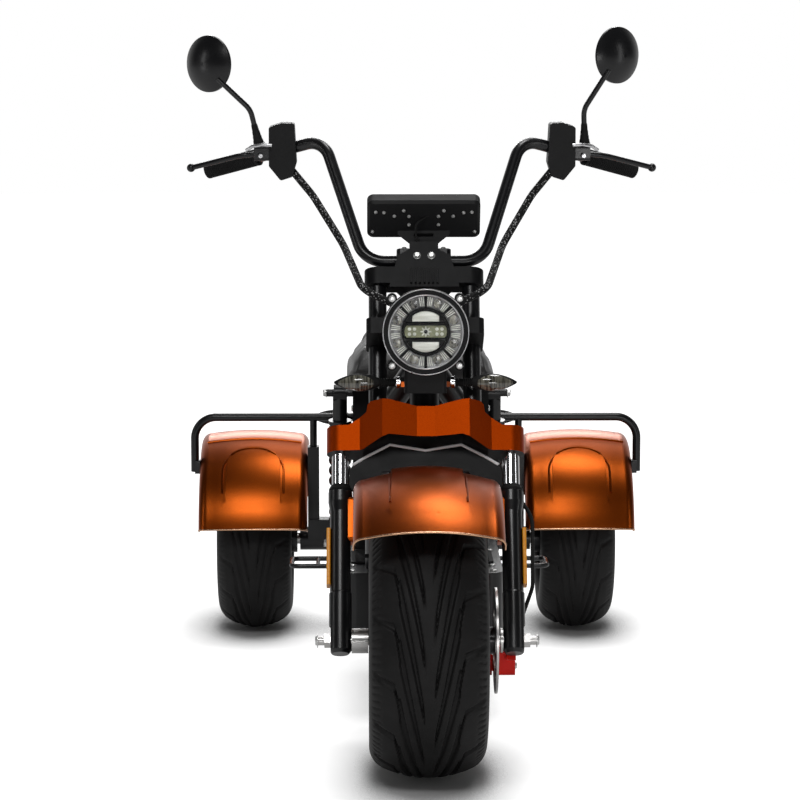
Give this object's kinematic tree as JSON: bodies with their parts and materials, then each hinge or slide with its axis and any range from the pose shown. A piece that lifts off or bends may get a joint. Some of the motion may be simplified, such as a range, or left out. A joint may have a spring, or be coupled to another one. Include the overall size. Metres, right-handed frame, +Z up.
{
  "type": "three-wheeled electric scooter",
  "caption": "Three-wheeled electric scooter with a wide steered front wheel in a raked fork, tall handlebar, low step-through deck, saddle and driven rear wheels under arched fenders.",
  "frame": {"origin": "middle of the bounding box at floor level", "axes": "+Z up, -Y the way the scooter faces, +X the rider's left"},
  "size_m": [0.953, 1.716, 1.2995],
  "materials": {
    "copper_paint": "gloss metallic",
    "black_paint": "satin",
    "black_plastic": "satin",
    "rubber": "matte",
    "tyre": "matte",
    "alloy": "satin",
    "steel": "brushed",
    "chrome": "polished",
    "leather": "satin",
    "red_paint": "gloss",
    "amber_lens": "gloss",
    "red_lens": "gloss",
    "clear_glass": "clear",
    "mirror_glass": "polished",
    "screen": "gloss"
  },
  "bodies": {
    "chassis": {"main_frame": "black_paint", "deck_box": "black_paint", "battery_pack": "black_plastic", "deck_mat": "rubber", "seat_base": "black_plastic", "rider_seat": "leather", "passenger_seat": "leather", "swing_arm": "black_paint", "drive_axle": "black_paint", "rear_shocks": "chrome", "rear_fender_left": "copper_paint", "rear_fender_right": "copper_paint", "fender_hoop_left": "black_paint", "fender_hoop_right": "black_paint", "passenger_steps": "black_paint", "tail_lamp": "red_lens", "rear_signals": "amber_lens"},
    "steering": {"steering_stem": "black_paint", "lower_clamp": "copper_paint", "upper_clamp": "black_paint", "fork_posts": "black_paint", "fork_stanchions": "chrome", "fork_sliders": "black_paint", "front_axle": "steel", "front_fender": "copper_paint", "fork_brace": "alloy", "headlight_shell": "black_paint", "headlight_guard": "black_paint", "headlight_lens": "clear_glass", "headlight_core": "black_plastic", "headlight_bracket": "black_paint", "front_signals": "amber_lens", "handlebar": "black_paint", "bar_risers": "black_paint", "bar_grips": "rubber", "control_housings": "black_plastic", "brake_levers": "alloy", "mirrors": "black_plastic", "mirror_glass": "mirror_glass", "dash_panel": "black_plastic", "dash_screen": "screen", "dash_bracket": "black_paint", "dash_lead": "rubber", "control_hoses": "rubber", "front_caliper": "red_paint", "brake_hose": "rubber", "fork_reflectors": "amber_lens"},
    "front_wheel": {"front_tyre": "tyre", "front_rim": "alloy", "front_disc": "steel"},
    "rear_wheel_left": {"rear_tyre_left": "tyre", "rear_rim_left": "alloy", "rear_shaft_left": "steel"},
    "rear_wheel_right": {"rear_tyre_right": "tyre", "rear_rim_right": "alloy", "rear_shaft_right": "steel"}
  },
  "joints": [
    {"name": "steering", "type": "hinge", "parent": "chassis", "child": "steering", "pos_m": [0, -0.32105, 0.70349], "axis": [0, 0.4695, 0.8829], "range_deg": [-40, 40]},
    {"name": "front_wheel_spin", "type": "hinge", "parent": "steering", "child": "front_wheel", "pos_m": [0, -0.619, 0.239], "axis": [1, 0, 0], "continuous": true},
    {"name": "rear_wheel_left_spin", "type": "hinge", "parent": "chassis", "child": "rear_wheel_left", "pos_m": [0.343, 0.631, 0.19], "axis": [1, 0, 0], "continuous": true},
    {"name": "rear_wheel_right_spin", "type": "hinge", "parent": "chassis", "child": "rear_wheel_right", "pos_m": [-0.343, 0.631, 0.19], "axis": [1, 0, 0], "continuous": true}
  ]
}
